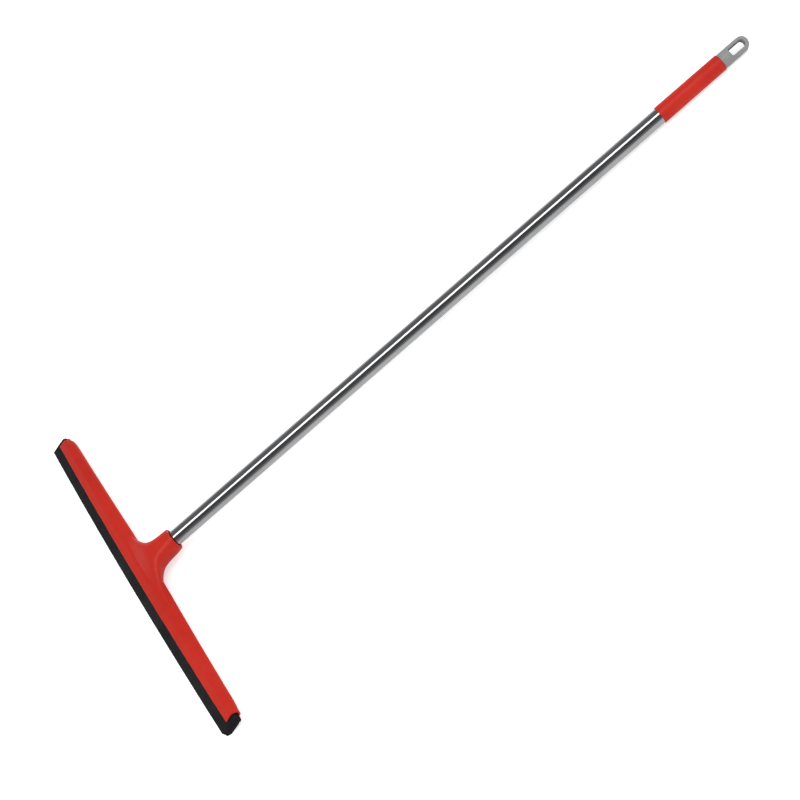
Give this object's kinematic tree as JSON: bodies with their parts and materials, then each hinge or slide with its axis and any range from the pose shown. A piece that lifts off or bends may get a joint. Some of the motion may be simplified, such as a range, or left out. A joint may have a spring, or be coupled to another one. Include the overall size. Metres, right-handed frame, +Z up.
{
  "type": "floor squeegee",
  "caption": "T-shaped floor squeegee with foam lips in a bowed plastic head, a leaning screw socket, a chromed tube handle, a sleeve grip and a swivelling hanging loop.",
  "frame": {"origin": "on the surface the tool lies on, under the middle of its bounding box", "axes": "+X along the blade, +Y along the handle from the head towards the hanging loop, +Z up; the tool lies on its back, as it is put down, with the blade's front face up"},
  "size_m": [0.546, 1.0658, 0.0428],
  "materials": {
    "red_plastic": "satin",
    "red_grip": "satin",
    "black_foam": "matte",
    "chromed_tube": "polished",
    "grey_plastic": "satin",
    "natural_plastic": "matte",
    "rivet_steel": "satin"
  },
  "bodies": {
    "head": {"head_frame": "red_plastic", "foam_lip_front": "black_foam", "foam_lip_rear": "black_foam"},
    "loop": {"hanging_loop": "grey_plastic"},
    "handle": {"handle_tube": "chromed_tube", "threaded_plug": "natural_plastic", "plug_rivet": "rivet_steel", "grip_sleeve": "red_grip", "swivel_bush": "natural_plastic"}
  },
  "joints": [
    {"name": "handle_travel", "type": "slide", "parent": "head", "child": "loop", "axis": [0, 0.9999, -0.0165], "range_m": [0, 0.0244]},
    {"name": "handle_turn", "type": "hinge", "parent": "loop", "child": "handle", "pos_m": [0, -0.51185, 0.02816], "axis": [0, 0.9999, -0.0165], "range_deg": [0, 1760]}
  ],
  "couplings": [
    {"joint": "handle_turn", "follows": "handle_travel", "rad_per_m": 1256.6}
  ]
}
